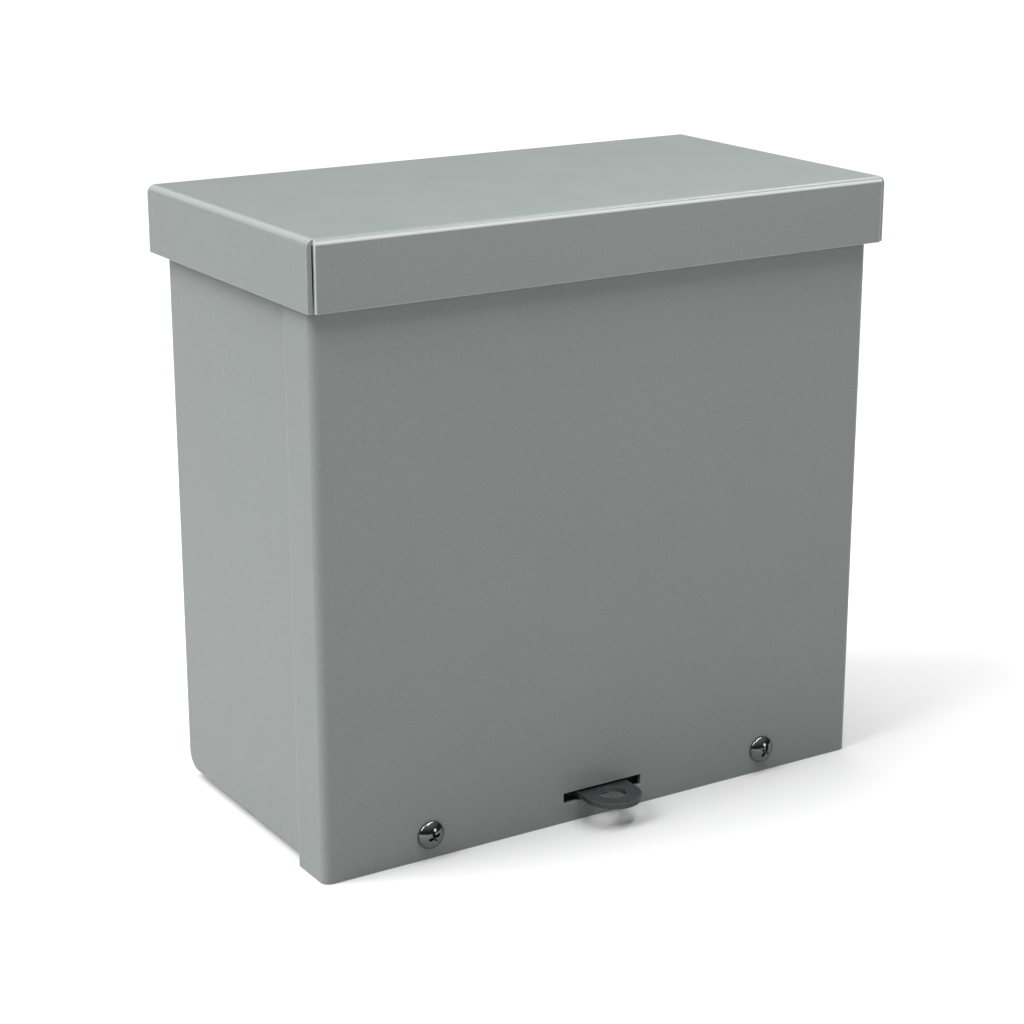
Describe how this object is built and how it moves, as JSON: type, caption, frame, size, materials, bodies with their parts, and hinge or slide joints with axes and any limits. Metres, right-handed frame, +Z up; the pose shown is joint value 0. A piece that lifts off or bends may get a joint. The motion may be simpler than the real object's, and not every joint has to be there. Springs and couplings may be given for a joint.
{
  "type": "ac disconnect box",
  "caption": "Rainproof grey steel wall box with drip shield, slip-on screw cover and padlock hasp, holding a pull-out AC disconnect switch.",
  "frame": {"origin": "centre of the four wall-mounting holes, on the plane of the wall", "axes": "+Z up, +Y into the wall, -Y towards the front cover, +X to the right as seen from the front"},
  "size_m": [0.216, 0.1242, 0.2068],
  "materials": {
    "enclosure_paint": "grey powder coat, satin, fine texture",
    "hasp_steel": "dark zinc plate, satin",
    "bright_screw": "bright zinc plate",
    "zinc_steel": "zinc plated steel",
    "moulded_black": "moulded phenolic, satin",
    "shield_plastic": "sheet insulating plastic, matte",
    "copper": "tin-free copper, slightly dulled",
    "lug_aluminium": "plain extruded aluminium",
    "ground_green": "green dyed zinc plate"
  },
  "bodies": {
    "enclosure": {"back_and_floor_panel": "enclosure_paint", "left_side_panel": "enclosure_paint", "right_side_panel": "enclosure_paint", "drip_shield_top": "enclosure_paint", "padlock_hasp": "hasp_steel", "floor_knockouts": "enclosure_paint", "back_knockout": "enclosure_paint", "base_block": "moulded_black", "base_mounting_screws": "zinc_steel", "line_jaws": "copper", "load_jaws": "copper", "line_lugs": "lug_aluminium", "load_lugs": "lug_aluminium", "line_lug_screws": "zinc_steel", "load_lug_screws": "zinc_steel", "dead_front_shield": "shield_plastic", "dead_front_screws": "zinc_steel", "ground_bar": "lug_aluminium", "ground_bar_screws": "ground_green", "ground_wire_screws": "zinc_steel"},
    "cover": {"front_cover": "enclosure_paint"},
    "left_retainer": {"left_screw_retainer": "zinc_steel"},
    "left_screw": {"left_cover_screw": "bright_screw"},
    "right_retainer": {"right_screw_retainer": "zinc_steel"},
    "right_screw": {"right_cover_screw": "bright_screw"},
    "pull_out": {"pull_out_carrier": "moulded_black", "pull_out_handle": "moulded_black", "pull_out_blades": "copper", "pull_out_screws": "zinc_steel", "blade_pin": "zinc_steel"}
  },
  "joints": [
    {"name": "cover_swing", "type": "hinge", "parent": "enclosure", "child": "cover", "pos_m": [0, -0.1224, 0.08715], "axis": [-1, 0, 0], "range_deg": [0, 80]},
    {"name": "left_screw_travel", "type": "slide", "parent": "cover", "child": "left_retainer", "axis": [0, -1, 0], "range_m": [0, 0.0034]},
    {"name": "left_screw_turn", "type": "hinge", "parent": "left_retainer", "child": "left_screw", "pos_m": [-0.06665, -0.1084, -0.09653], "axis": [0, -1, 0], "range_deg": [0, 1550]},
    {"name": "right_screw_travel", "type": "slide", "parent": "cover", "child": "right_retainer", "axis": [0, -1, 0], "range_m": [0, 0.0034]},
    {"name": "right_screw_turn", "type": "hinge", "parent": "right_retainer", "child": "right_screw", "pos_m": [0.06665, -0.1084, -0.09653], "axis": [0, -1, 0], "range_deg": [0, 1550]},
    {"name": "pull_out_slide", "type": "slide", "parent": "enclosure", "child": "pull_out", "axis": [0, -1, 0], "range_m": [0, 0.028]}
  ],
  "couplings": [
    {"joint": "left_screw_turn", "follows": "left_screw_travel", "rad_per_m": 7915.8},
    {"joint": "right_screw_turn", "follows": "right_screw_travel", "rad_per_m": 7915.8}
  ]
}
